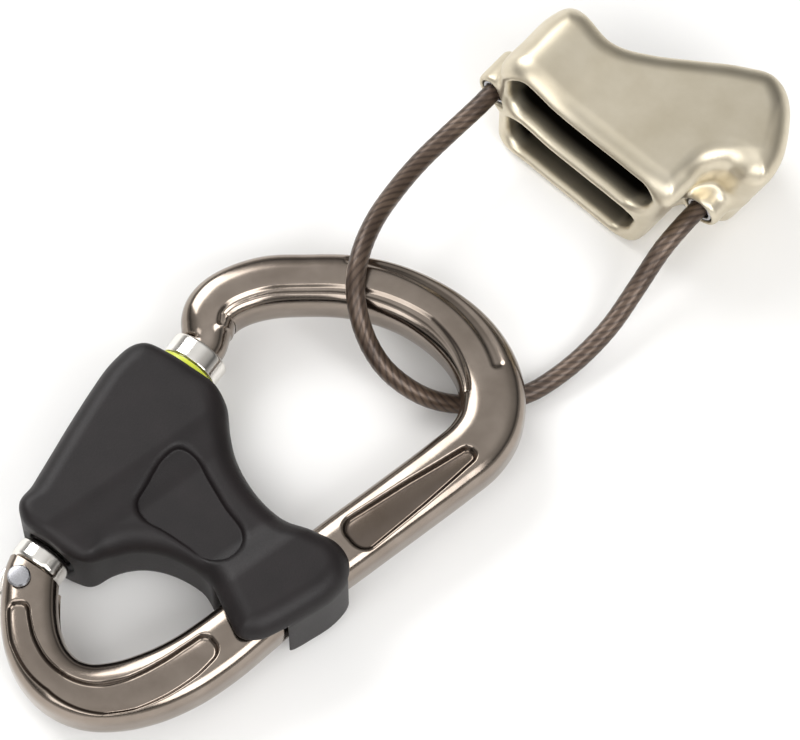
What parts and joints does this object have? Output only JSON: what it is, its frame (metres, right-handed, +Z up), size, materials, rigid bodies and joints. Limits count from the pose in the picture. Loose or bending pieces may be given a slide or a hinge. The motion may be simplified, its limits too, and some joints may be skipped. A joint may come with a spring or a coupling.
{
  "type": "belay device",
  "caption": "Tube belay device with two rope slots, held by a steel keeper cable on a pear-shaped screwgate carabiner with a swinging plastic guard.",
  "frame": {"origin": "on the guard's flat underside, below the middle of the gate", "axes": "+Z up from the surface the set lies on; +Y along the gate from its hinge to its nose, towards the tube; +X from the gate towards the spine"},
  "size_m": [0.0872, 0.1829, 0.034],
  "materials": {
    "anodised_frame": "polished, titanium-grey anodised",
    "polished_alloy": "bright polished",
    "black_nylon": "satin moulded",
    "lime_band": "satin",
    "spring_steel": "drawn",
    "champagne_alloy": "satin, pale champagne anodised",
    "bronzed_cable": "laid wire under a bronze-tinted sleeve"
  },
  "bodies": {
    "frame": {"frame_body": "anodised_frame", "gate": "polished_alloy", "gate_pivot_pin": "spring_steel", "gate_spring": "spring_steel", "gate_plunger": "spring_steel"},
    "sleeve_carrier": {"indicator_ring": "lime_band"},
    "sleeve": {"screw_sleeve": "polished_alloy"},
    "guard": {"guard_clip": "black_nylon"},
    "tube": {"tube_body": "champagne_alloy", "cable_ferrule_left": "spring_steel", "cable_ferrule_right": "spring_steel", "keeper_cable": "bronzed_cable"}
  },
  "joints": [
    {"name": "guard_swing", "type": "hinge", "parent": "frame", "child": "guard", "pos_m": [0, 0, 0.0105], "axis": [0, -1, 0], "range_deg": [0, 180]},
    {"name": "sleeve_travel", "type": "slide", "parent": "frame", "child": "sleeve_carrier", "axis": [0, -1, 0], "range_m": [0, 0.0073]},
    {"name": "sleeve_turn", "type": "hinge", "parent": "sleeve_carrier", "child": "sleeve", "pos_m": [0, 0, 0.0105], "axis": [0, -1, 0], "range_deg": [0, 1080]},
    {"name": "loop_swing", "type": "hinge", "parent": "frame", "child": "tube", "pos_m": [0.0326, 0.0546, 0.0095], "axis": [0.9994, 0.0349, 0], "range_deg": [0, 100]}
  ],
  "couplings": [
    {"joint": "sleeve_travel", "follows": "sleeve_turn", "m_per_rad": 0.00038197}
  ]
}
